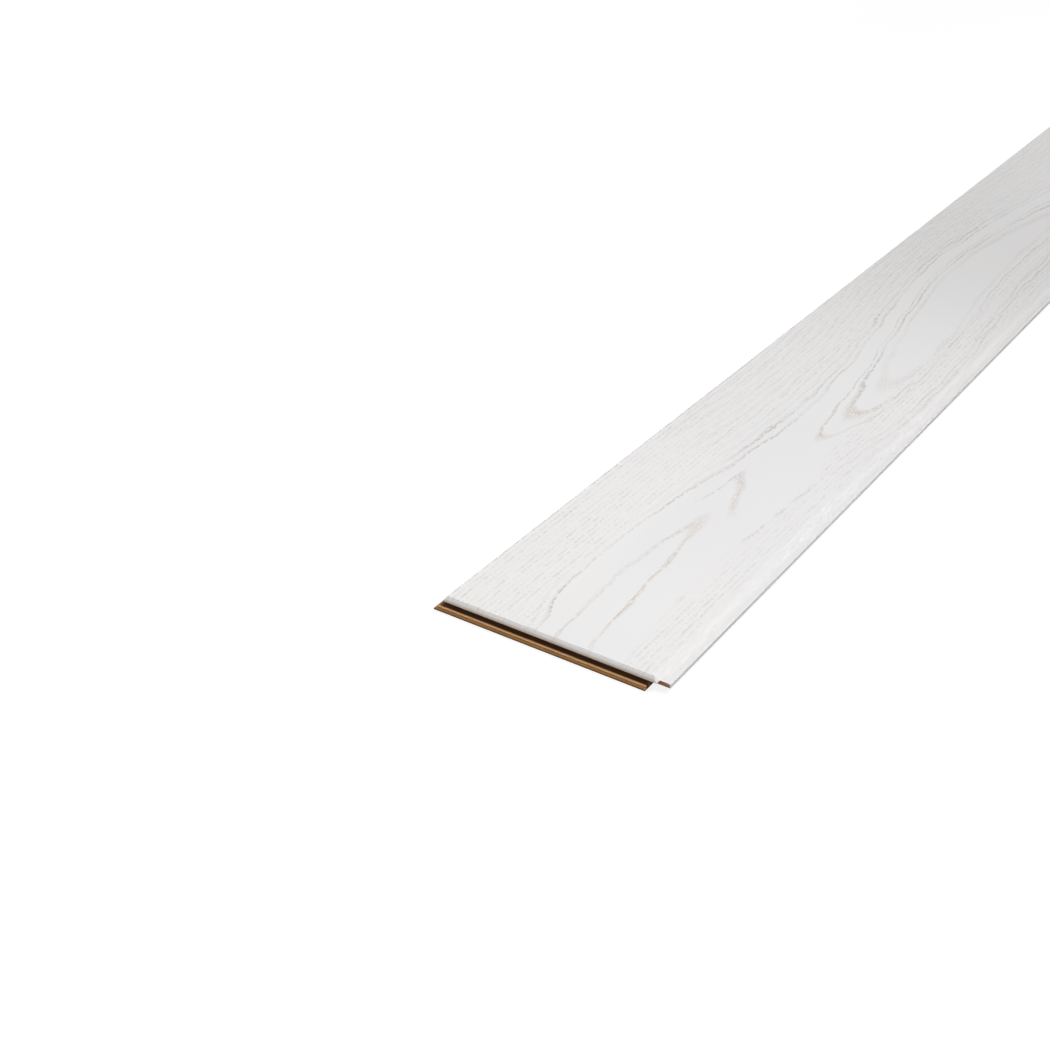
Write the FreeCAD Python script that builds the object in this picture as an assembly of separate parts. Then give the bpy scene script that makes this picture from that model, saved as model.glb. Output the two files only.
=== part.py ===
import FreeCAD, Part
import math
import os
from FreeCAD import Vector

# Tongue and groove board, in millimetres. X runs across the width, Y along the length, Z up.
# The grooved long edge faces -X and the tongued one +X. The grooved end faces -Y, the tongued one +Y.

# What one board covers once it is pushed home against its neighbours
COVER_WIDTH = 200.0
COVER_LENGTH = 2600.0
THICKNESS = 12.0

# Levels of the joint, the same on all four sides
LOWER_LIP = 4.1
GROOVE_HEIGHT = 4.1
PLAY = 0.1  # between tongue and groove, above it and below it

# Long edges
EDGE_RADIUS = 2.0  # rounds the upper lip into the face
BEVEL_RUN = 4.0  # slope from the face down to the tongue
BEVEL_RADIUS = 4.0  # softens that slope into the face
TONGUE = 9.6
LIP = 7.0  # lower lip, measured out from the upper one
LIP_NOSE = 1.2  # upright height of its nose
LIP_SLOPE = 3.5  # run of the slope above the nose

# Ends
END_BEVEL_RUN = 3.8
END_BEVEL_RADIUS = 0.6  # softens the slope into the face
END_SHOULDER = 1.4  # upright height between the slope and the joint
END_NOSE_RADIUS = 2.5  # rounds the slope into that upright
END_TONGUE = 5.7
END_LIP = 3.9
LIP_ARRIS = 0.5  # rounds the outer arris of the end lip

# Cutter corners and the room left inside a closed joint
TONGUE_NOSE = 1.2
TONGUE_HEEL = 0.4
GROOVE_CORNER = 0.4
GROOVE_ROOM = 0.4
LIP_ROOM = 0.6

GROOVE_TOP = LOWER_LIP + GROOVE_HEIGHT
TONGUE_LOW = LOWER_LIP + PLAY
TONGUE_TOP = GROOVE_TOP - PLAY
X = Vector(1, 0, 0)
Y = Vector(0, 1, 0)
Z = Vector(0, 0, 1)


def outline(corners, across):
    """A closed face through (distance across, height, radius) corners, each rounded by its radius."""
    spots = [across * c[0] + Z * c[1] for c in corners]
    arrive = []
    leave = []
    bends = []
    for i, spot in enumerate(spots):
        radius = corners[i][2]
        back = (spots[i - 1] - spot).normalize()
        ahead = (spots[(i + 1) % len(spots)] - spot).normalize()
        half = back.getAngle(ahead) / 2
        reach = radius / math.tan(half)
        arrive.append(spot + back * reach)
        leave.append(spot + ahead * reach)
        inward = (back + ahead).normalize()
        middle = spot + inward * (radius / math.sin(half) - radius)
        bends.append(Part.Arc(arrive[i], middle, leave[i]).toShape() if radius else None)
    edges = []
    for i in range(len(spots)):
        if bends[i]:
            edges.append(bends[i])
        # A round that takes up a whole side leaves no straight there
        following = arrive[(i + 1) % len(spots)]
        if leave[i].distanceToPoint(following) > Part.Precision.confusion():
            edges.append(Part.makeLine(leave[i], following))
    return Part.Face(Part.Wire(edges))


def milled(lip, tongue, cover, tongue_side, groove_side):
    """Corners of a section from the lower lip round to the tongue and back over the face."""
    shoulder = cover - lip - LIP_ROOM
    depth = tongue + GROOVE_ROOM
    below = [(-lip, 0, 0), (shoulder, 0, 0), (shoulder, TONGUE_LOW, GROOVE_CORNER)]
    nose = [(cover + tongue, TONGUE_LOW, TONGUE_HEEL), (cover + tongue, TONGUE_TOP, TONGUE_NOSE)]
    slot = [(depth, GROOVE_TOP, GROOVE_CORNER), (depth, LOWER_LIP, GROOVE_CORNER)]
    return below + nose + tongue_side + groove_side + slot


def slope_foot(joint):
    """Height where the slope of an end meets its upright, with room for the nose round above the joint."""
    across = END_BEVEL_RUN - END_NOSE_RADIUS
    up = THICKNESS - joint
    # The steepest slope is the tangent drawn from the face to a round that ends on the joint
    slant = math.atan2(up, across) - math.asin(END_NOSE_RADIUS / math.hypot(across, up))
    return max(joint + END_SHOULDER, THICKNESS - END_BEVEL_RUN * math.tan(slant))


# Section across the width: bevel above the tongue, rounded upper lip, sloped nose on the lower lip
across_width = milled(
    LIP,
    TONGUE,
    COVER_WIDTH,
    [(COVER_WIDTH, TONGUE_TOP, 0), (COVER_WIDTH - BEVEL_RUN, THICKNESS, BEVEL_RADIUS)],
    [(0, THICKNESS, EDGE_RADIUS), (0, GROOVE_TOP, 0)],
) + [(LIP_SLOPE - LIP, LOWER_LIP, 0), (-LIP, LIP_NOSE, 0)]

# Section along the length: the same rounded slope at both ends, upright nose on the lower lip
along_length = milled(
    END_LIP,
    END_TONGUE,
    COVER_LENGTH,
    [
        (COVER_LENGTH, TONGUE_TOP, 0),
        (COVER_LENGTH, slope_foot(TONGUE_TOP), END_NOSE_RADIUS),
        (COVER_LENGTH - END_BEVEL_RUN, THICKNESS, END_BEVEL_RADIUS),
    ],
    [
        (END_BEVEL_RUN, THICKNESS, END_BEVEL_RADIUS),
        (0, slope_foot(GROOVE_TOP), END_NOSE_RADIUS),
        (0, GROOVE_TOP, 0),
    ],
) + [(-END_LIP, LOWER_LIP, LIP_ARRIS)]

# Each section runs right through the blank, so where two of them cross they shape the corners
width = LIP + COVER_WIDTH + TONGUE
length = END_LIP + COVER_LENGTH + END_TONGUE
side_milled = outline(across_width, X).extrude(Y * (3 * length))
side_milled.translate(Y * -length)
end_milled = outline(along_length, Y).extrude(X * (3 * width))
end_milled.translate(X * -width)
board = side_milled.common(end_milled).removeSplitter().Solids[0]

# The origin is the middle of the underside of the whole board
board.translate(X * (LIP - width / 2) + Y * (END_LIP - length / 2))

os.makedirs("parts", exist_ok=True)
board.exportStep("parts/board.step")
print("board", board.BoundBox, "volume", round(board.Volume), "valid", board.isValid())
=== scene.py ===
# %% [markdown]
# # A tongue and groove lining board
#
# The board is a long fibreboard panel with a pale wood print on its face. It lies flat on a studio floor.
# The packed CAD model is loaded first and fixes every size. The piece made below gives it its finished look.

# %% Load the packed board
import math

import bmesh
import bpy
from mathutils import Matrix, Vector


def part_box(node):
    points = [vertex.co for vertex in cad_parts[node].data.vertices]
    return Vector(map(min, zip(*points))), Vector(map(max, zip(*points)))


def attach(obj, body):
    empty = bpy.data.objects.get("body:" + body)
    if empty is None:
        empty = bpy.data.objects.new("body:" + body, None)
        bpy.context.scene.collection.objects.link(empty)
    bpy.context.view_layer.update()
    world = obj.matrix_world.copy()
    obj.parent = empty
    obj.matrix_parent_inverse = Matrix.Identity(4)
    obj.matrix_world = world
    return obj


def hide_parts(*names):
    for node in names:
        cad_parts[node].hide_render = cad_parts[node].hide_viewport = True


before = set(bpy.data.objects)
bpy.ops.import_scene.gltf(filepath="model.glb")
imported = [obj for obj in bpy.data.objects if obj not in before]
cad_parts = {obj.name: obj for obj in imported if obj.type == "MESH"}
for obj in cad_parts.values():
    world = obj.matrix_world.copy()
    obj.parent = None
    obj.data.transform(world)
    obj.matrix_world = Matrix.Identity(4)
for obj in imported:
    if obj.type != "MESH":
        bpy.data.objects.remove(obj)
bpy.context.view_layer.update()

# %% [markdown]
# ## Sizes
#
# The sizes are those of the real board in metres, the same ones that the CAD model was made from.
# Distances are counted from the upper lip of the grooved edge and of the grooved end, so two values,
# where that edge and that end lie, tie them to the model's own frame.

# %% Sizes of the board
MM = 0.001
COVER_WIDTH = 200 * MM
COVER_LENGTH = 2600 * MM
THICKNESS = 12 * MM

# Levels of the joint, the same on all four sides
LOWER_LIP = 4.1 * MM
GROOVE_HEIGHT = 4.1 * MM
PLAY = 0.1 * MM  # between tongue and groove, above it and below it
GROOVE_TOP = LOWER_LIP + GROOVE_HEIGHT
TONGUE_LOW = LOWER_LIP + PLAY
TONGUE_TOP = GROOVE_TOP - PLAY

# Long edges
SIDE_LIP = 7 * MM
SIDE_TONGUE = 9.6 * MM
EDGE_RADIUS = 2 * MM
BEVEL_RUN = 4 * MM
BEVEL_RADIUS = 4 * MM
LIP_NOSE = 1.2 * MM
LIP_SLOPE = 3.5 * MM

# Ends
END_LIP = 3.9 * MM
END_TONGUE = 5.7 * MM
END_BEVEL = 3.8 * MM
END_BEVEL_RADIUS = 0.6 * MM
END_SHOULDER = 1.4 * MM
END_NOSE_RADIUS = 2.5 * MM
LIP_ARRIS = 0.5 * MM

# Cutter corners, and the room left inside a closed joint
TONGUE_NOSE = 1.2 * MM
CUTTER_CORNER = 0.4 * MM
LIP_ROOM = 0.6 * MM
GROOVE_ROOM = 0.4 * MM

FILM_EDGE = 0.35 * MM  # height of the film's cut edge on the upper lip of the groove

low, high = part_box("board")
edge_x = low[0] + SIDE_LIP
end_y = low[1] + END_LIP
print("upper lip at x", round(edge_x, 4), "grooved end at y", round(end_y, 5))

# %% [markdown]
# ## Camera
#
# The camera looks down on the near end from the right, with a slight tilt of the horizon.
# Its place was worked out from the board's own straight edges, so it is set by numbers and not by eye.
# A matrix built from the three viewing directions avoids any doubt about the order of turns.

# %% Camera
AZIMUTH = math.radians(28.714)
ELEVATION = math.radians(29.746)
ROLL = math.radians(4.552)
FOCAL_PX = 1877.1
FRAME_PX = 1050
SENSOR = 36
CAMERA_FROM_CORNER = Vector((0.6888, -1.1279, 0.8416))
CLIP_END = 50

level = Vector((math.cos(AZIMUTH), math.sin(AZIMUTH), 0))
ahead = Vector((-math.sin(AZIMUTH), math.cos(AZIMUTH), 0))
forward = ahead * math.cos(ELEVATION) - Vector((0, 0, math.sin(ELEVATION)))
upright = level.cross(forward)
across = level * math.cos(ROLL) + upright * math.sin(ROLL)
above = across.cross(forward)

camera_data = bpy.data.cameras.new("camera")
camera_data.sensor_width = SENSOR
camera_data.lens = SENSOR * FOCAL_PX / FRAME_PX
camera_data.clip_end = CLIP_END
camera = bpy.data.objects.new("camera", camera_data)
turn = Matrix((across, above, -forward)).transposed().to_4x4()
spot = Vector((edge_x, end_y, 0)) + CAMERA_FROM_CORNER
camera.matrix_world = Matrix.Translation(spot) @ turn
bpy.context.collection.objects.link(camera)
bpy.context.scene.camera = camera
print("lens", round(camera_data.lens, 2), "camera at", [round(v, 3) for v in spot])

# %% [markdown]
# ## Stock with a milled section
#
# The real board is milled by cutters that run right along its edges. A section drawn once and extruded
# does the same. Corners are rounded afterwards with the bevel operator: a corner's radius becomes the
# distance that the bevel starts from the corner, which depends on how sharp the corner is.

# %% Extrude a section into stock
ROUND_STEPS = 8
SPARE = 0.05  # length that the stock stands past the board at each end
ALIGNED = 0.9  # two directions count as the same above this cosine


def runs_along(edge, axis):
    """Whether an edge lies in the direction of an axis."""
    start, end = edge.verts
    return abs((end.co - start.co).normalized().dot(axis)) > ALIGNED


def milled_stock(name, corners, width_axis, run_axis, start, end):
    """A bar with this section. Corners are (distance, height, radius). The cutter runs along run_axis."""
    bm = bmesh.new()
    ring = []
    for distance, height, radius in corners:
        place = width_axis * distance + Vector((0, 0, height)) + run_axis * (start - SPARE)
        ring.append(bm.verts.new(place))
    face = bm.faces.new(ring)
    grown = bmesh.ops.extrude_face_region(bm, geom=[face], use_keep_orig=True)
    far = [v for v in grown["geom"] if isinstance(v, bmesh.types.BMVert)]
    bmesh.ops.translate(bm, verts=far, vec=run_axis * (end - start + 2 * SPARE))
    bmesh.ops.recalc_face_normals(bm, faces=bm.faces)
    arrises = []
    for i, vert in enumerate(ring):
        radius = corners[i][2]
        back = (ring[i - 1].co - vert.co).normalized()
        onward = (ring[(i + 1) % len(ring)].co - vert.co).normalized()
        if radius:
            arris = next(edge for edge in vert.link_edges if runs_along(edge, run_axis))
            arrises.append((arris, radius / math.tan(back.angle(onward) / 2)))
    for arris, reach in arrises:
        bmesh.ops.bevel(bm, geom=[arris], offset=reach, offset_type="OFFSET", affect="EDGES",
                        segments=ROUND_STEPS, profile=0.5, material=-1)
    mesh = bpy.data.meshes.new(name)
    bm.to_mesh(mesh)
    bm.free()
    bar = bpy.data.objects.new(name, mesh)
    bpy.context.collection.objects.link(bar)
    print(name, len(mesh.vertices), "points")
    return bar


# %% Corners that both sections have in common
def section(origin, lip, tongue, cover, over_tongue, over_groove, lip_front):
    """Corners from the lower lip along the underside, round the tongue, over the face, into the groove."""
    shoulder = cover - lip - LIP_ROOM
    bed = tongue + GROOVE_ROOM
    below = [(-lip, 0, 0), (shoulder, 0, 0), (shoulder, TONGUE_LOW, CUTTER_CORNER)]
    nose = [(cover + tongue, TONGUE_LOW, CUTTER_CORNER), (cover + tongue, TONGUE_TOP, TONGUE_NOSE)]
    slot = [(0, GROOVE_TOP, 0), (bed, GROOVE_TOP, CUTTER_CORNER), (bed, LOWER_LIP, CUTTER_CORNER)]
    corners = below + nose + [(cover, TONGUE_TOP, 0)] + over_tongue + over_groove + slot + lip_front
    return [(origin + distance, height, radius) for distance, height, radius in corners]


# %% Section across the width
across_width = section(
    edge_x, SIDE_LIP, SIDE_TONGUE, COVER_WIDTH,
    over_tongue=[(COVER_WIDTH - BEVEL_RUN, THICKNESS, BEVEL_RADIUS)],
    over_groove=[(0, THICKNESS, EDGE_RADIUS), (0, GROOVE_TOP + FILM_EDGE, 0)],
    lip_front=[(LIP_SLOPE - SIDE_LIP, LOWER_LIP, 0), (-SIDE_LIP, LIP_NOSE, 0)],
)
X, Y = Vector((1, 0, 0)), Vector((0, 1, 0))
side_bar = milled_stock("side_milled", across_width, X, Y, low[1], high[1])

# %% Section along the length
along_length = section(
    end_y, END_LIP, END_TONGUE, COVER_LENGTH,
    over_tongue=[
        (COVER_LENGTH, TONGUE_TOP + END_SHOULDER, END_NOSE_RADIUS),
        (COVER_LENGTH - END_BEVEL, THICKNESS, END_BEVEL_RADIUS),
    ],
    over_groove=[(END_BEVEL, THICKNESS, END_BEVEL_RADIUS), (0, GROOVE_TOP + END_SHOULDER, END_NOSE_RADIUS)],
    lip_front=[(-END_LIP, LOWER_LIP, LIP_ARRIS)],
)
end_bar = milled_stock("end_milled", along_length, Y, X, low[0], high[0])

# %% [markdown]
# ## Where the two cuts cross
#
# Only what both cutters leave standing is board, so a Boolean intersection of the two bars gives the
# finished shape. It makes every corner right by itself: the tongue stops short of the near end, and the lips
# meet at a square corner.

# %% Intersect the two bars
crossing = side_bar.modifiers.new("crossing", "BOOLEAN")
crossing.operation = "INTERSECT"
crossing.solver = "EXACT"
crossing.object = end_bar
depsgraph = bpy.context.evaluated_depsgraph_get()
mesh = bpy.data.meshes.new_from_object(side_bar.evaluated_get(depsgraph))
mesh.name = "lining_board"
board = bpy.data.objects.new("lining_board", mesh)
bpy.context.collection.objects.link(board)
for bar in (side_bar, end_bar):
    bpy.data.objects.remove(bar, do_unlink=True)
print("board", len(mesh.polygons), "faces", "box", [round(v, 4) for v in board.dimensions])

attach(board, "root")
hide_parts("board")

# %% [markdown]
# ## Small helpers for finishes
#
# A finish is a network of shader nodes. Each of these helpers adds a node or two and wires them, so that the
# finishes below read like short sums. Anything that isn't a socket is simply set as a value.
# The first class does the sums, and the second adds places, patterns and colours to them.


# %% Helpers for sums
class Sums:
    """Adds nodes that work with plain values to one shader tree."""

    def __init__(self, tree):
        self.tree = tree

    def feed(self, socket, given):
        if isinstance(given, bpy.types.NodeSocket):
            self.tree.links.new(given, socket)
        else:
            socket.default_value = given

    def calc(self, operation, *given):
        step = self.tree.nodes.new("ShaderNodeMath")
        step.operation = operation
        for socket, value in zip(step.inputs, given):
            self.feed(socket, value)
        return step.outputs["Value"]

    def times(self, first, *others):
        for other in others:
            first = self.calc("MULTIPLY", first, other)
        return first

    def highest(self, first, *others):
        for other in others:
            first = self.calc("MAXIMUM", first, other)
        return first

    def size(self, value):
        return self.calc("ABSOLUTE", value)

    def away_from(self, value, middle):
        return self.size(self.calc("SUBTRACT", value, middle))

    def rise(self, value, span, low=0.0, high=1.0):
        """A soft step from low to high while the value goes through the span."""
        step = self.tree.nodes.new("ShaderNodeMapRange")
        step.interpolation_type = "SMOOTHSTEP"
        settings = {"Value": value, "From Min": span[0], "From Max": span[1], "To Min": low, "To Max": high}
        for name, given in settings.items():
            self.feed(step.inputs[name], given)
        return step.outputs["Result"]

    def fall(self, value, span, high=1.0, low=0.0):
        """A soft step from high down to low."""
        return self.rise(value, span, high, low)


print("sums:", [name for name in vars(Sums) if not name.startswith("_")])


# %% Helpers for places, patterns and colours
class Wiring(Sums):
    """Adds the nodes of a finish to its shader tree."""

    def cloud(self, place, stretch, detail=1.0):
        """Noise with a number of bumps per millimetre across, along and up."""
        round_edge_shade = self.tree.nodes.new("ShaderNodeVectorMath")
        round_edge_shade.operation = "MULTIPLY"
        self.feed(round_edge_shade.inputs[0], place)
        self.feed(round_edge_shade.inputs[1], stretch)
        noise = self.tree.nodes.new("ShaderNodeTexNoise")
        noise.inputs["Scale"].default_value = 1
        noise.inputs["Detail"].default_value = detail
        self.tree.links.new(round_edge_shade.outputs["Vector"], noise.inputs["Vector"])
        return noise.outputs["Fac"]

    def tint(self, amount, first, second):
        mix = self.tree.nodes.new("ShaderNodeMix")
        mix.data_type = "RGBA"
        for name, given in {"Factor": amount, "A": first, "B": second}.items():
            self.feed(mix.inputs[name], given)
        return mix.outputs["Result"]

    def place(self):
        """Object coordinates in millimetres from the grooved corner."""
        coordinates = self.tree.nodes.new("ShaderNodeTexCoord")
        mapping = self.tree.nodes.new("ShaderNodeMapping")
        mapping.inputs["Scale"].default_value = (1 / MM, 1 / MM, 1 / MM)
        mapping.inputs["Location"].default_value = (-edge_x / MM, -end_y / MM, 0)
        self.tree.links.new(coordinates.outputs["Object"], mapping.inputs["Vector"])
        return mapping.outputs["Vector"]

    def parts(self, place):
        """Across, along and up."""
        split = self.tree.nodes.new("ShaderNodeSeparateXYZ")
        self.tree.links.new(place, split.inputs["Vector"])
        return split.outputs["X"], split.outputs["Y"], split.outputs["Z"]

    def relief(self, shader, height, depth):
        bump = self.tree.nodes.new("ShaderNodeBump")
        bump.inputs["Distance"].default_value = depth
        self.tree.links.new(height, bump.inputs["Height"])
        self.tree.links.new(bump.outputs["Normal"], shader.inputs["Normal"])


print("patterns:", [name for name in vars(Wiring) if not name.startswith("_")])


# %% Start a finish
def new_finish(name, roughness, gloss=0.5):
    material = bpy.data.materials.new(name)
    material.use_nodes = True
    shader = material.node_tree.nodes["Principled BSDF"]
    shader.inputs["Roughness"].default_value = roughness
    shader.inputs["Specular IOR Level"].default_value = gloss
    print("finish", name)
    return material, Wiring(material.node_tree), shader


# %% [markdown]
# ## Dashes
#
# Wood pores and the marks of a cutter are both short dashes in one direction. Noise that is stretched along
# the dashes and cut off at a level gives them. It is a node group, because the film and the raw board both
# use it.

# %% Node group for dashes
DASH_DETAIL = 1.5

dashes = bpy.data.node_groups.new("dashes", "ShaderNodeTree")
for name, kind in {"Vector": "Vector", "Stretch": "Vector", "Level": "Float", "Softness": "Float"}.items():
    dashes.interface.new_socket(name, in_out="INPUT", socket_type="NodeSocket" + kind)
dashes.interface.new_socket("Mask", in_out="OUTPUT", socket_type="NodeSocketFloat")
given = dashes.nodes.new("NodeGroupInput").outputs
result = dashes.nodes.new("NodeGroupOutput").inputs
net = Wiring(dashes)
grain = net.cloud(given["Vector"], given["Stretch"], DASH_DETAIL)
full = net.calc("ADD", given["Level"], given["Softness"])
dashes.links.new(net.rise(grain, (given["Level"], full)), result["Mask"])


def dash_mask(net, place, stretch, level, softness):
    placed = net.tree.nodes.new("ShaderNodeGroup")
    placed.node_tree = dashes
    settings = {"Vector": place, "Stretch": stretch, "Level": level, "Softness": softness}
    for name, value in settings.items():
        net.feed(placed.inputs[name], value)
    return placed.outputs["Mask"]


print("dashes", len(dashes.nodes), "nodes")

# %% [markdown]
# ## Printed wood
#
# The face of the real board is a printed film that shows flat-sawn oak. Where a board is cut near the side
# of a log, the growth rings come out as long lines at the edges and as pointed arches in the middle.
# One number per point, the ring number, gives all of this: it grows with the distance from the heart line
# and falls where the log dips below the cut. A line of the print is a place where it has the same value.
#
# All sizes of the print are in millimetres: x runs across from the grooved edge, y along from the grooved
# end. A pair of numbers is a span, over which something comes up or fades out. Three numbers are the bumps
# per millimetre of a noise pattern across, along and up.

# %% Heart line
SADDLE = 375  # the arches point at this place from both sides
HEART, HEART_SWING, HEART_LENGTH = 127, 15, 900
WAVERS = (  # millimetres to and fro, and bumps per millimetre
    (3.0, (0.2, 0.07, 0.2)),
    (7.0, (0.012, 0.005, 0.012)),
    (9.0, (0.06, 0.02, 0.06)),
)

film, net, shader = new_finish("printed_film", 0.5, gloss=0.25)
place = net.place()
x, y, z = net.parts(place)


def wave(net, value, start, length, middle, swing):
    """A sine curve that goes up through its middle at the start."""
    turn = net.calc("MULTIPLY_ADD", value, 2 * math.pi / length, -2 * math.pi * start / length)
    return net.calc("MULTIPLY_ADD", net.calc("SINE", turn), swing, middle)


wobble = -sum(swing for swing, stretch in WAVERS) / 2
for swing, stretch in WAVERS:
    wobble = net.calc("MULTIPLY_ADD", net.cloud(place, stretch), swing, wobble)
heart = net.calc("ADD", wobble, wave(net, y, SADDLE, HEART_LENGTH, HEART, HEART_SWING))

# %% Ring number
NEAR_PULL, FAR_PULL = 8, -2  # how far the lines on the grooved side are drawn towards the heart
PULLED, PULL_FADES = (-24, -15), (0, 110)
SADDLE_REACH, SADDLE_REPEAT = 274, 3000
DIP, DIP_SWING, DIP_START, DIP_LENGTH = 1120, 700, 330, 1900
EVEN_OUT = 400  # keeps the lines from crowding where the ring number passes zero

aside = net.calc("SUBTRACT", x, heart)
pull = net.times(net.fall(aside, PULLED), net.rise(y, PULL_FADES, NEAR_PULL, FAR_PULL))
aside = net.calc("SUBTRACT", aside, pull)
gone = wave(net, y, SADDLE, SADDLE_REPEAT, 0, SADDLE_REPEAT / (2 * math.pi * SADDLE_REACH))
on_saddle = net.calc("EXPONENT", net.times(gone, gone, -1.0))
dip = net.times(net.calc("SUBTRACT", 1.0, on_saddle), wave(net, y, DIP_START, DIP_LENGTH, DIP, DIP_SWING))
field = net.calc("SUBTRACT", net.times(aside, aside), dip)
spread = net.calc("SQRT", net.calc("ADD", net.size(field), EVEN_OUT))
ring = net.calc("DIVIDE", field, spread)
print("ring number", len(net.tree.nodes), "nodes so far")

# %% [markdown]
# ### Lines of the print
#
# A growth ring starts sharply and fades out, so each line does too. Not every ring is printed: a plain band
# follows the arches, wider on the tongue's side near the end, where the next ring shows only in flecks.
# The lines are made of broken strokes and vary in strength. One more small arch stands by itself between
# the near arch and the saddle.


# %% Where the lines are
def line_at(net, value, gap, start, sharp, fade):
    """1 just past every step of the gap. It comes up over the first length and is gone after the second."""
    steps = net.calc("MULTIPLY_ADD", value, 1 / gap, -start / gap)
    past = net.times(net.calc("FRACT", steps), gap)
    return net.times(net.rise(past, (0, sharp)), net.fall(past, (sharp, fade)))


RING_GAP, FIRST_RING, RING_SHARP, RING_FADE = 9.5, -9.4, 1.4, 6.2
FLECK_SIDE, PAST_ARCH, NEAR_PART = (8, 20), (0, 8), (380, 470)
BAND_WIDER = -12

ring_lines = line_at(net, ring, RING_GAP, FIRST_RING, RING_SHARP, RING_FADE)
fleck_side = net.times(net.rise(aside, FLECK_SIDE), net.rise(ring, PAST_ARCH), net.fall(y, NEAR_PART))
outer = net.calc("MULTIPLY_ADD", fleck_side, BAND_WIDER, ring)

# %% Which lines show
NEAR_CUT, FAR_CUT, CUT_CHANGES = -4.5, -7.5, (100, 220)  # ring number at which the plain band starts
CUT_SOFT, BAND_ENDS = 2.5, (25, 29)
INNER_RINGS, OUTER_RINGS, OUTER_STRENGTH = (-33, -18), (38, 52), 0.3
ONE_INSIDE, INSIDE_CHANGES = (-12.5, -10.5), (250, 350)
ONE_OUTSIDE, OUTSIDE_CHANGES, SECOND_STRENGTH = (34, 38), (330, 430), 0.25

cut = net.rise(y, CUT_CHANGES, NEAR_CUT, FAR_CUT)
plain_band = net.times(net.rise(ring, (cut, net.calc("ADD", cut, CUT_SOFT))), net.fall(outer, BAND_ENDS))
outside_band = net.calc("SUBTRACT", 1.0, plain_band)
near_heart = net.times(net.rise(ring, INNER_RINGS), net.fall(ring, OUTER_RINGS, 1, OUTER_STRENGTH))
one_inside = net.highest(net.rise(ring, ONE_INSIDE), net.rise(y, INSIDE_CHANGES))
one_outside = net.highest(net.fall(outer, ONE_OUTSIDE, 1, SECOND_STRENGTH), net.rise(y, OUTSIDE_CHANGES))
lines = net.times(ring_lines, outside_band, near_heart, one_inside, one_outside)

# %% How strong the lines are
TONGUE_SIDE, TONGUE_SIDE_STRENGTH = (-4, 22), 0.75
FLECKS, FLECK_CUT, FLECK_LOW, FLECK_HIGH = (0.03, 0.022, 0.03), (0.48, 0.6), 0.15, 1.3
PATCHES, PATCH_CUT, PATCH_LOW, PATCH_HIGH = (0.045, 0.012, 0.045), (0.36, 0.62), 0.42, 1.1
TIPS, TIP_STRENGTH = (5, 12), 0.7  # the tips of the arches, along the heart, are never lost in a weak patch
STROKES, STROKE_LEVEL, STROKE_SOFT = (0.75, 0.14, 0.75), 0.35, 0.2

weaker_right = net.fall(aside, TONGUE_SIDE, 1, TONGUE_SIDE_STRENGTH)
fleck = net.rise(net.cloud(place, FLECKS), FLECK_CUT, FLECK_LOW, FLECK_HIGH)
flecked = net.calc("MULTIPLY_ADD", fleck_side, net.calc("SUBTRACT", fleck, 1.0), 1.0)
patchy = net.rise(net.cloud(place, PATCHES, detail=2.0), PATCH_CUT, PATCH_LOW, PATCH_HIGH)
patchy = net.highest(patchy, net.fall(net.size(aside), TIPS, TIP_STRENGTH, 0))
broken = dash_mask(net, place, STROKES, STROKE_LEVEL, STROKE_SOFT)
lines = net.times(lines, weaker_right, flecked, patchy, broken)

# %% The small arch by itself
CROWN_X, CROWN_ROUND, CROWN_STEEP, CROWN_LEAN, CROWN_STRENGTH = 104, 6, 8.0, -4.9, 0.7
CROWN_STARTS, CROWN_ENDS, LEGS_END = (350, 366), (372, 388), (262, 300)

off_crown = net.calc("SUBTRACT", net.calc("SUBTRACT", x, wobble), CROWN_X)
round_off = net.calc("SQRT", net.calc("MULTIPLY_ADD", off_crown, off_crown, CROWN_ROUND))
crown = net.calc("MULTIPLY_ADD", round_off, CROWN_STEEP, net.calc("MULTIPLY_ADD", off_crown, CROWN_LEAN, y))
small_arch = net.times(net.rise(crown, CROWN_STARTS), net.fall(crown, CROWN_ENDS), net.rise(y, LEGS_END))
lines = net.highest(lines, net.times(small_arch, broken, CROWN_STRENGTH))
print("lines", len(net.tree.nodes), "nodes so far")

# %% [markdown]
# ### Rows of pores
#
# Beside the arches the rings are cut edge on, and their pores stand in fine straight rows along the board.
# The bevel and the tongue have hardly any. A stronger row runs along the grooved edge at the near end.

# %% Rows of pores
ROW_GAP, ROW_SHARP, ROW_FADE, ROW_WOBBLE = 5.0, 1.3, 4.0, -0.35
FLANK, FLANK_LEAN = (36, 48), -0.15
RIGHT_ROWS_NEAR, RIGHT_ROWS_FAR, RIGHT_ROWS_SOFT = 160, 148, 14
FACE_ENDS, PAST_FACE_STRENGTH = (188, 195), 0.1

beside = net.calc("MULTIPLY_ADD", aside, FLANK_LEAN, net.size(outer))
right_rows = net.rise(y, NEAR_PART, RIGHT_ROWS_NEAR, RIGHT_ROWS_FAR)
on_right = net.rise(x, (right_rows, net.calc("ADD", right_rows, RIGHT_ROWS_SOFT)))
flank = net.highest(net.rise(beside, FLANK), on_right)
on_face = net.fall(x, FACE_ENDS, 1, PAST_FACE_STRENGTH)
row_at = net.calc("MULTIPLY_ADD", wobble, ROW_WOBBLE, x)
rows = net.times(line_at(net, row_at, ROW_GAP, 0, ROW_SHARP, ROW_FADE), flank, on_face)

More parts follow.
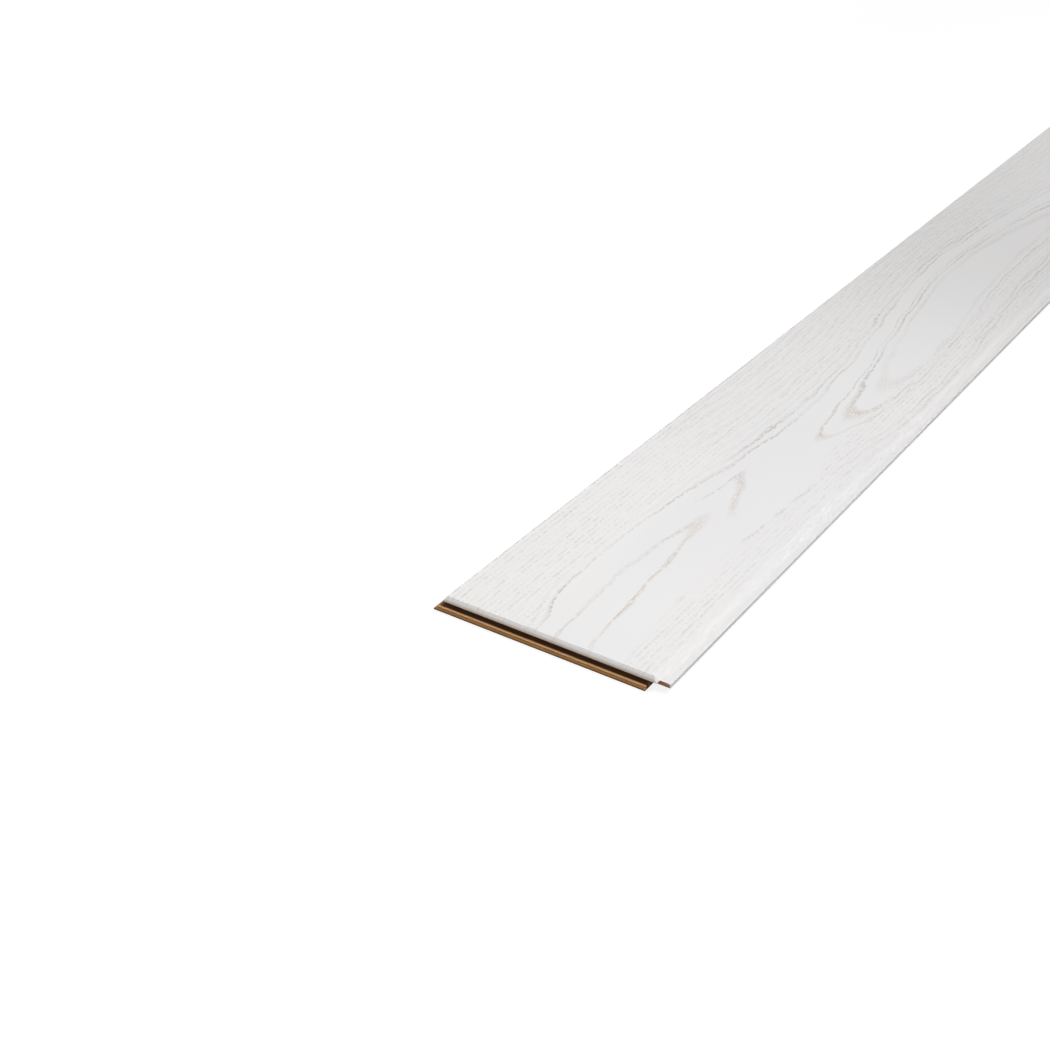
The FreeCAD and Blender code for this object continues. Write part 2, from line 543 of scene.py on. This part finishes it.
# %% How strong the pores are
PORES, PORE_LEVEL, PORE_SOFT = (0.45, 0.3, 0.45), 0.38, 0.2
STREAKS, STREAK_CUT, STREAK_LOW, STREAK_HIGH = (0.22, 0.05, 0.22), (0.35, 0.65), 0.35, 1.5
SWELLS, SWELL_CUT, SWELL_LOW, SWELL_HIGH = (0.06, 0.003, 0.06), (0.36, 0.64), 0.65, 1.35
STRONG_ROW, STRONG_WIDTH, STRONG_EXTRA, STRONG_ENDS = 11, (1.5, 3.0), 1.2, (170, 250)
SPECKS, SPECK_LEVEL, SPECK_SOFT, SPECK_LEAST = (0.8, 0.3, 0.8), 0.56, 0.12, 0.25

pores = dash_mask(net, place, PORES, PORE_LEVEL, PORE_SOFT)
streak = net.rise(net.cloud(place, STREAKS), STREAK_CUT, STREAK_LOW, STREAK_HIGH)
swell = net.rise(net.cloud(place, SWELLS), SWELL_CUT, SWELL_LOW, SWELL_HIGH)
strong_row = net.fall(net.away_from(row_at, STRONG_ROW), STRONG_WIDTH, STRONG_EXTRA, 0)
strength = net.calc("ADD", swell, net.times(strong_row, net.fall(y, STRONG_ENDS)))
rows = net.times(rows, pores, streak, strength)
specks = dash_mask(net, place, SPECKS, SPECK_LEVEL, SPECK_SOFT)
specks = net.times(specks, net.rise(flank, (0, 1), SPECK_LEAST, 1), on_face)
print("pores", len(net.tree.nodes), "nodes so far")

# %% [markdown]
# ### Colours of the print
#
# The ground is nearly white. Painted light makes it a little lighter and warmer on the grooved side
# towards the near end, and painted shade makes it a little duller in the stretch round the saddle. The lines
# are greyish at the sides, browner along the heart and tan at the near end. The pores are a weak grey brown.

# %% Colour of the ground
CREAM_WHITE = (0.768, 0.757, 0.752, 1)
SHADED_WHITE = (0.747, 0.736, 0.739, 1)
LIT_WARM_WHITE = (0.789, 0.774, 0.760, 1)
COOL_WHITE = (0.755, 0.757, 0.782, 1)
SADDLE_SHADE_STARTS, SADDLE_SHADE_ENDS = (60, 260), (470, 640)
SIDE_LIGHT_SPAN, SIDE_LIGHT_FADES, SIDE_LIGHT_LEAST = (60, 95), (200, 480), 0.3
MOTTLE, MOTTLE_CUT, COOL_SHARE = (0.011, 0.0045, 0.011), (0.35, 0.65), 0.25

# Painted shade: a duller white in the stretch round the saddle
saddle_shade = net.times(net.rise(y, SADDLE_SHADE_STARTS), net.fall(y, SADDLE_SHADE_ENDS))
# Painted light: a lighter, a little warmer white on the grooved side towards the near end
side_light = net.times(net.fall(x, SIDE_LIGHT_SPAN), net.fall(y, SIDE_LIGHT_FADES, 1, SIDE_LIGHT_LEAST))
mottle = net.rise(net.cloud(place, MOTTLE, detail=2.0), MOTTLE_CUT)
ground = net.tint(side_light, net.tint(saddle_shade, CREAM_WHITE, SHADED_WHITE), LIT_WARM_WHITE)
ground = net.tint(net.times(mottle, COOL_SHARE), ground, COOL_WHITE)

# %% Colours of pores and lines
GREY_LINE = (0.485, 0.46, 0.42, 1)
ARCH_LINE = (0.53, 0.48, 0.425, 1)
TAN_LINE = (0.55, 0.455, 0.36, 1)
LEFT_PORE = (0.46, 0.455, 0.44, 1)
RIGHT_PORE = (0.52, 0.475, 0.42, 1)
TAN_ENDS, TAN_SIDE, ALONG_HEART, RIGHT_PART = (60, 220), (-10, 2), (8, 20), (120, 160)
LEFT_ROWS_STRENGTH, RIGHT_ROWS_STRENGTH, SPECKS_STRENGTH = 0.21, 0.28, 0.1
LINES_STRENGTH, TAN_STRENGTH = 0.72, 1.0

tan = net.times(net.fall(y, TAN_ENDS), net.rise(aside, TAN_SIDE))
line_colour = net.tint(net.fall(net.size(aside), ALONG_HEART), GREY_LINE, ARCH_LINE)
line_colour = net.tint(tan, line_colour, TAN_LINE)
pore_colour = net.tint(net.rise(x, RIGHT_PART), LEFT_PORE, RIGHT_PORE)
row_strength = net.rise(x, RIGHT_PART, LEFT_ROWS_STRENGTH, RIGHT_ROWS_STRENGTH)
pore_share = net.calc("MULTIPLY_ADD", rows, row_strength, net.times(specks, SPECKS_STRENGTH))
line_share = net.times(lines, net.rise(tan, (0, 1), LINES_STRENGTH, TAN_STRENGTH))
colour = net.tint(line_share, net.tint(pore_share, ground, pore_colour), line_colour)

# %% [markdown]
# ### Edges of the film
#
# Painted shade greys the film in the crease above the tongue, on the crest of the bevel and on the outer
# part of the tongue. Painted shade that turns warmer and darker further down lies on the rounded edges above
# the grooves.

# %% Edges of the film
CREASE_SHADE_GREY = (0.55, 0.54, 0.53, 1)
SHADE_GREY = (0.53, 0.525, 0.535, 1)
SHADE_CREAM = (0.65, 0.55, 0.445, 1)
CREASE_OUT, CREASE_WIDTH, CREASE_SHARE = 0.4, (0.3, 1.2), 0.1
CREST_IN, CREST_WIDTH, CREST_SHARE = 4.2, (0.6, 2.2), 0.2
TONGUE_SHADE_SPAN, TONGUE_SHADE_SHARE = (202, 206), 0.15
OUTER_TONGUE_SPAN, OUTER_TONGUE_SHARE = (208.6, 209.5), 0.6
CREAM_SOFT, SHADE_PER_MM, MOST_SHADE = 0.2, 0.21, 0.7

cover, end_bevel, edge_round = COVER_WIDTH / MM, END_BEVEL / MM, EDGE_RADIUS / MM
# Painted shade in the crease above the tongue and on the crest of the bevel
crease = net.fall(net.away_from(x, cover + CREASE_OUT), CREASE_WIDTH, CREASE_SHARE, 0)
crest = net.fall(net.away_from(x, cover - CREST_IN), CREST_WIDTH, CREST_SHARE, 0)
# Painted shade on the outer part of the tongue, strongest on its outer side
tongue_shade = net.rise(x, TONGUE_SHADE_SPAN, 0, TONGUE_SHADE_SHARE)
tongue = net.highest(tongue_shade, net.rise(x, OUTER_TONGUE_SPAN, 0, OUTER_TONGUE_SHARE))
# Painted shade on the rounded edges above the grooves, warmer and darker further below the face
over_end = net.fall(y, (end_bevel - CREAM_SOFT, end_bevel))
round_edge = net.highest(over_end, net.fall(x, (edge_round - CREAM_SOFT, edge_round)))
below_face = net.calc("SUBTRACT", THICKNESS / MM, z)
round_edge_shade = net.calc("MINIMUM", net.times(below_face, SHADE_PER_MM), MOST_SHADE)
colour = net.tint(crease, colour, CREASE_SHADE_GREY)
colour = net.tint(crest, colour, SHADE_GREY)
colour = net.tint(tongue, colour, SHADE_GREY)
colour = net.tint(net.times(round_edge, round_edge_shade), colour, SHADE_CREAM)

# %% Wire the film
PLAIN_ROUGHNESS, MARK_ROUGHNESS, PORE_DEPTH = 0.50, 0.62, 0.04 * MM

marks = net.highest(lines, rows, specks)
net.feed(shader.inputs["Base Color"], colour)
net.feed(shader.inputs["Roughness"], net.rise(marks, (0, 1), PLAIN_ROUGHNESS, MARK_ROUGHNESS))
net.relief(shader, net.calc("SUBTRACT", 1.0, marks), PORE_DEPTH)
print("printed film", len(net.tree.nodes), "nodes")

# %% [markdown]
# ## Raw fibreboard
#
# Where the cutters have gone through, the fibreboard shows: brown, dull and a little streaky along the cut.
# Painted shade darkens it inside the grooves, in a band high on the front of the lower lips and along their
# foot. The end of the tongue is a dark, greyish brown. A painted highlight makes it pale along the top arris
# of the lower lips and at the right end of the front lip, under the tongue.

# %% Brown with fibres and cutter marks
DARK_BROWN = (0.40, 0.165, 0.036, 1)
LIGHT_BROWN = (0.60, 0.28, 0.075, 1)
FIBRE_BROWN = (0.50, 0.28, 0.10, 1)
FIBRES, FIBRE_CUT, FIBRE_SHARE, FIBRE_DEPTH = (2.2, 2.2, 2.2), (0.4, 0.75), 0.35, 0.1 * MM
CUTTER_MARKS, CUTTER_LEVEL, CUTTER_SOFT = (0.06, 0.06, 2.4), 0.38, 0.3

core, net, shader = new_finish("raw_fibreboard", 0.8)
place = net.place()
x, y, z = net.parts(place)
fibre = net.cloud(place, FIBRES, detail=3.0)
cutter = dash_mask(net, place, CUTTER_MARKS, CUTTER_LEVEL, CUTTER_SOFT)
brown = net.tint(cutter, DARK_BROWN, LIGHT_BROWN)
brown = net.tint(net.rise(fibre, FIBRE_CUT, 0, FIBRE_SHARE), brown, FIBRE_BROWN)

# %% Painted shade in the grooves and on the lips' front and foot, a painted highlight on the arris
GROOVE_SHADE = (0.12, 0.045, 0.016, 1)
PALE_HIGHLIGHT = (0.69, 0.45, 0.23, 1)
FOOT_SHADOW = (0.1, 0.04, 0.012, 1)
BAND_SHADE = (0.2, 0.08, 0.025, 1)
GROOVE_SHARE, ARRIS_SHARE, CORNER_SHARE, LIP_BAND_SHARE = 0.8, 0.75, 0.7, 0.7
LIP_FRONT, LIP_TOP, IN_GROOVE, ABOVE_UNDERSIDE = (0.1, 0.6), (3.95, 4.09), (2.0, 3.2), (0.02, 0.3)
ARRIS_STARTS, ARRIS_ENDS = (0.1, 0.5), (2.0, 3.6)
CORNER_ACROSS, CORNER_ALONG = (191.6, 192.2), (-3.6, -2.8)
FOOT_HEIGHT, LIP_BAND_STARTS, LIP_BAND_ENDS = (0.7, 1.5), (2.8, 3.4), (3.75, 4.05)

from_end = net.calc("ADD", y, END_LIP / MM)
from_side = net.calc("ADD", x, SIDE_LIP / MM)
inside = net.calc("MINIMUM", from_end, from_side)
lip_front = net.fall(inside, LIP_FRONT)
# Painted shade inside the grooves
groove = net.times(net.rise(inside, IN_GROOVE), net.rise(z, ABOVE_UNDERSIDE), GROOVE_SHARE)
# Painted highlight along the top arris of the lips and at the corner under the tongue
arris = net.times(net.rise(z, LIP_TOP), net.rise(inside, ARRIS_STARTS), net.fall(inside, ARRIS_ENDS))
corner = net.times(net.rise(x, CORNER_ACROSS), net.fall(y, CORNER_ALONG))
arris_highlight = net.highest(net.times(arris, ARRIS_SHARE), net.times(corner, CORNER_SHARE))
# Painted shadow along the foot of the lips
foot = net.times(net.fall(z, FOOT_HEIGHT), lip_front)
# Painted shade in a band just under the top of the lips' front
lip_band_shade = net.times(net.rise(z, LIP_BAND_STARTS), net.fall(z, LIP_BAND_ENDS, LIP_BAND_SHARE, 0), lip_front)
for share, painted_tone in ((groove, GROOVE_SHADE), (arris_highlight, PALE_HIGHLIGHT), (foot, FOOT_SHADOW), (lip_band_shade, BAND_SHADE)):
    brown = net.tint(share, brown, painted_tone)

# %% Cut end of the tongue, then wire the raw board
TONGUE_END_BROWN = (0.36, 0.19, 0.105, 1)
TONGUE_END_SHARE = 0.9
ON_TONGUE, PAST_LIP, ABOVE_FLOOR = (190, 192), (1, 2), (1, 2)

tongue_end = net.times(net.rise(x, ON_TONGUE), net.rise(y, PAST_LIP), net.rise(z, ABOVE_FLOOR))
brown = net.tint(net.times(tongue_end, TONGUE_END_SHARE), brown, TONGUE_END_BROWN)
net.feed(shader.inputs["Base Color"], brown)
net.relief(shader, fibre, FIBRE_DEPTH)
print("raw fibreboard", len(net.tree.nodes), "nodes")

# %% [markdown]
# ## Cut edge of the film
#
# The film is thin, but where it ends its cut edge shows as a fine cream line round the brown.

# %% Cut edge
GRIMY_CREAM = (0.66, 0.53, 0.42, 1)
CLEAN_CREAM = (0.78, 0.67, 0.56, 1)
GRIME, GRIME_CUT = (0.4, 0.4, 0.4), (0.35, 0.65)

rim, net, shader = new_finish("film_edge", 0.6)
grime = net.rise(net.cloud(net.place(), GRIME, detail=2.0), GRIME_CUT)
net.feed(shader.inputs["Base Color"], net.tint(grime, GRIMY_CREAM, CLEAN_CREAM))

# %% [markdown]
# ## Which face gets which finish
#
# The film covers everything that is seen once the boards are up: the face, the sloped and rounded edges,
# and the tongues down to their outer side. A face is sorted by where its middle lies and by which way it
# points.

# %% Sort the faces
FILM, CORE, RIM = 0, 1, 2
HAIR = 0.05 * MM
SLACK = 0.5 * MM
FILM_FOOT = LOWER_LIP + 0.45 * MM  # the film on a tongue ends at this height
SLANT = 0.1

mesh.materials.clear()
for finish in (film, core, rim):
    mesh.materials.append(finish)
past_side = edge_x + COVER_WIDTH - SLACK
past_end = end_y + COVER_LENGTH - SLACK
for face in mesh.polygons:
    centre, normal = face.center, face.normal
    above_joint = centre.z > GROOVE_TOP + HAIR
    on_tongue = centre.z > FILM_FOOT and (centre.x > past_side or centre.y > past_end)
    outward = max(normal.x, normal.y, normal.z) > SLANT and normal.z > -SLANT
    film_ends = centre.z < GROOVE_TOP + FILM_EDGE and min(normal.x, normal.y) < -ALIGNED
    if above_joint and film_ends:
        face.material_index = RIM
    else:
        face.material_index = FILM if above_joint or (on_tongue and outward) else CORE
counts = [sum(face.material_index == finish for face in mesh.polygons) for finish in (FILM, CORE, RIM)]
print("faces in film, core, cut edge:", counts)

# %% [markdown]
# ### Cut end of the tongue
#
# The end groove cuts the long tongue off, so its film shows as a rim there. The end of the tongue lies in
# one plane with the bed of that groove, so the face is divided at the tongue's root, and the part on the
# tongue is inset.

# %% Film edge round the end of the tongue
RIM_WIDTH = 0.9 * MM
RIM_SIDE = 1.2 * MM
groove_bed = end_y + END_TONGUE + GROOVE_ROOM
tongue_side = edge_x + COVER_WIDTH + SIDE_TONGUE


def at_groove_bed(face):
    return face.normal.y < -ALIGNED and abs(face.calc_center_median().y - groove_bed) < 2 * HAIR


bm = bmesh.new()
bm.from_mesh(mesh)
beds = [face for face in bm.faces if at_groove_bed(face)]
around = {part for face in beds for part in [face, *face.edges, *face.verts]}
bmesh.ops.bisect_plane(bm, geom=list(around), plane_co=(past_side, 0, 0), plane_no=X)
ends = [face for face in bm.faces if at_groove_bed(face) and face.calc_center_median().x > past_side]
for strip in bmesh.ops.inset_region(bm, faces=ends, thickness=RIM_WIDTH, use_even_offset=True)["faces"]:
    middle = strip.calc_center_median()
    along_top = middle.z > TONGUE_TOP - RIM_WIDTH
    along_side = middle.x > tongue_side - RIM_SIDE and middle.z > LOWER_LIP + SLACK
    strip.material_index = RIM if along_top or along_side else CORE
print("tongue ends", len(ends))

# %% [markdown]
# ### Clean faces and smooth roundings
#
# The Boolean leaves some edges across flat faces, which would make needless thin triangles later. They are
# dissolved, but not where two finishes meet. The roundings are made of narrow strips, so they are shaded
# smooth, while true arrises stay sharp. Weighted normals keep the wide flat faces looking flat.

# %% Take out the spare edges that the Boolean left across flat faces
FLAT = math.radians(0.1)

edges_before = len(bm.edges)
bmesh.ops.dissolve_limit(bm, angle_limit=FLAT, use_dissolve_boundaries=False, verts=bm.verts, edges=bm.edges,
                         delimit={"MATERIAL"})
print("spare edges", edges_before - len(bm.edges))
bm.to_mesh(mesh)
bm.free()

# %% Smooth the roundings
SHARP = math.radians(25)

for face in mesh.polygons:
    face.use_smooth = True
mesh.set_sharp_from_angle(angle=SHARP)
board.modifiers.new("even_normals", "WEIGHTED_NORMAL").keep_sharp = True
print("board", len(mesh.polygons), "faces")

# %% [markdown]
# ## Floor
#
# The floor is plain studio paper, a hair below the board. The camera sees it nearly white, because it glows
# for the camera alone, a little less close to the board. To everything else it is a duller white, so that
# the undersides and outer faces of the board keep their shade.

# %% Floor
FLOOR_REACH = 12
FLOOR_DROP = 0.4 * MM
LIT_PAPER = (0.62, 0.62, 0.62, 1)
SEEN_PAPER = (0.18, 0.18, 0.18, 1)
NEAR_GLOW, FAR_GLOW, GLOW_CHANGES = 0.86, 0.99, (300, 1500)

bm = bmesh.new()
lowered = Matrix.Translation((0, 0, -FLOOR_DROP))
bmesh.ops.create_grid(bm, x_segments=1, y_segments=1, size=FLOOR_REACH, matrix=lowered)
floor_mesh = bpy.data.meshes.new("floor")
bm.to_mesh(floor_mesh)
bm.free()
floor = bpy.data.objects.new("floor", floor_mesh)
bpy.context.collection.objects.link(floor)

paper, net, shader = new_finish("studio_paper", 1.0, gloss=0.0)
x = net.parts(net.place())[0]
glow = net.rise(net.away_from(x, cover / 2), GLOW_CHANGES, NEAR_GLOW, FAR_GLOW)
seen = net.tree.nodes.new("ShaderNodeLightPath").outputs["Is Camera Ray"]
shader.inputs["Emission Strength"].default_value = 1.0
net.feed(shader.inputs["Base Color"], net.tint(seen, LIT_PAPER, SEEN_PAPER))
net.feed(shader.inputs["Emission Color"], net.times(seen, glow))
floor_mesh.materials.append(paper)
print("floor", 2 * FLOOR_REACH, "m wide")

# %% [markdown]
# ## Light
#
# A wide soft panel hangs to the right above the first metre of the board and leans towards the near end, so
# the face is bright and the end itself is in shade. A smaller one keeps the far part from going dark, and a
# low one in front lights the near end a little. A last panel far behind on the right only shows as a sheen
# on the film: it makes the sloped edge along the tongue brighter than the face. The backdrop is white to the
# camera, and a dim sky to everything else, which fills the shade.

# %% Sky and backdrop
SKY = 0.16

world = bpy.data.worlds.new("studio")
world.use_nodes = True
bpy.context.scene.world = world
net = Wiring(world.node_tree)
background = net.tree.nodes["Background"]
background.inputs["Color"].default_value = (1, 1, 1, 1)
seen = net.tree.nodes.new("ShaderNodeLightPath").outputs["Is Camera Ray"]
net.feed(background.inputs["Strength"], net.calc("MULTIPLY_ADD", seen, 1 - SKY, SKY))
bpy.context.scene.view_settings.view_transform = "Standard"
print("sky", SKY)

# %% Panels
NEAR_END = Vector((edge_x + COVER_WIDTH / 2, end_y + 100 * MM, 0))
HOODED = math.radians(112)  # the light of a hooded panel spreads by this much


def panel(name, place, target, size, energy):
    """A rectangular lamp. Its place and target are metres from the near end of the board."""
    data = bpy.data.lights.new(name, "AREA")
    data.shape = "RECTANGLE"
    data.size, data.size_y = size
    data.energy = energy
    lamp = bpy.data.objects.new(name, data)
    lamp.location = NEAR_END + Vector(place)
    lamp.rotation_euler = (Vector(target) - Vector(place)).to_track_quat("-Z", "Y").to_euler()
    bpy.context.collection.objects.link(lamp)
    print("lamp", name, energy, "W")
    return data


key = panel("key", (0.75, 0.95, 2.2), (-0.6, -0.9, 0), (1.6, 1.6), 34.6)
far = panel("far", (0.6, 1.5, 1.6), (0.2, 2.8, 0), (1.2, 0.5), 14.3)
panel("front", (-0.5, -2.4, 0.9), (0, 0, 0), (1.6, 1.2), 13)
panel("sheen", (2.1, 3.1, 1.1), (0, 0.4, 0), (1.6, 0.8), 8)
for lamp_data in (key, far):
    lamp_data.spread = HOODED
bpy.data.objects["sheen"].visible_diffuse = False
